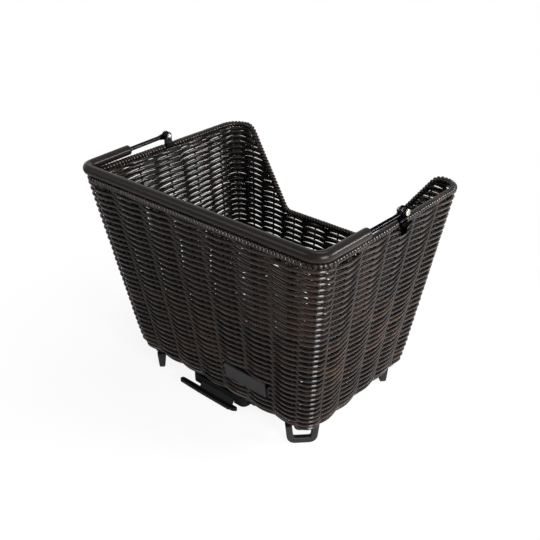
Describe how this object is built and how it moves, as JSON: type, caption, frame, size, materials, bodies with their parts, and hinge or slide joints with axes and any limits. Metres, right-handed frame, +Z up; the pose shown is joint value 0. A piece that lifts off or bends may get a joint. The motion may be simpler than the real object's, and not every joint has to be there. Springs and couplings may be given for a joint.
{
  "type": "bicycle basket",
  "caption": "Dark woven carrier basket with tapered walls, a saddle cut-out in the back, a swinging bail handle, loop feet and a quick-release rail adapter under the floor.",
  "frame": {"origin": "on the ground under the middle of the basket", "axes": "+X along the long walls, +Y from the front wall towards the wall with the saddle cut-out, +Z up"},
  "size_m": [0.421, 0.3059, 0.3272],
  "materials": {
    "strand": "satin round plastic strand, near-black brown",
    "wire": "welded steel wire, black coating",
    "black_plastic": "moulded black plastic, satin",
    "grip": "dark grey-brown soft grip tube",
    "black_steel": "gloss black coated steel",
    "bright_steel": "bright zinc-plated steel",
    "badge": "dark grey moulded plate, bare"
  },
  "bodies": {
    "basket": {"wire_frame": "wire", "woven_wall": "strand", "woven_floor": "strand", "rim_binding_front": "strand", "rim_binding_back": "strand", "pivot_bracket_right": "black_steel", "pivot_bolt_right": "bright_steel", "pivot_nut_right": "bright_steel", "pivot_washer_right": "bright_steel", "pivot_bracket_left": "black_steel", "pivot_bolt_left": "bright_steel", "pivot_nut_left": "bright_steel", "pivot_washer_left": "bright_steel", "foot_front_left": "black_plastic", "foot_washer_front_left": "bright_steel", "foot_screw_front_left": "bright_steel", "foot_front_right": "black_plastic", "foot_washer_front_right": "bright_steel", "foot_screw_front_right": "bright_steel", "foot_back_left": "black_plastic", "foot_washer_back_left": "bright_steel", "foot_screw_back_left": "bright_steel", "foot_back_right": "black_plastic", "foot_washer_back_right": "bright_steel", "foot_screw_back_right": "bright_steel", "badge_plate": "badge", "badge_backing": "black_plastic", "badge_rivet_left": "bright_steel", "badge_rivet_right": "bright_steel", "adapter_body": "black_plastic", "clamp_plate": "black_steel", "adapter_bolt_1": "bright_steel", "adapter_nut_1": "bright_steel", "adapter_bolt_2": "bright_steel", "adapter_nut_2": "bright_steel", "adapter_bolt_3": "bright_steel", "adapter_nut_3": "bright_steel", "adapter_bolt_4": "bright_steel", "adapter_nut_4": "bright_steel", "latch_spring": "bright_steel", "slider_cover": "black_plastic", "cover_screw_1": "bright_steel", "cover_screw_2": "bright_steel", "cover_screw_3": "bright_steel", "cover_screw_4": "bright_steel"},
    "bail": {"bail_rod": "black_steel", "grip_sleeve": "grip"},
    "release": {"release_handle": "black_plastic"}
  },
  "joints": [
    {"name": "bail_hinge", "type": "hinge", "parent": "basket", "child": "bail", "pos_m": [0, 0.0055, 0.3202], "axis": [-1, 0, 0], "range_deg": [0, 181]},
    {"name": "release_slide", "type": "slide", "parent": "basket", "child": "release", "axis": [0, -1, 0], "range_m": [0, 0.008], "stiffness_N_per_m": 800, "springref_m": -0.004, "deforming": ["latch_spring"]}
  ]
}
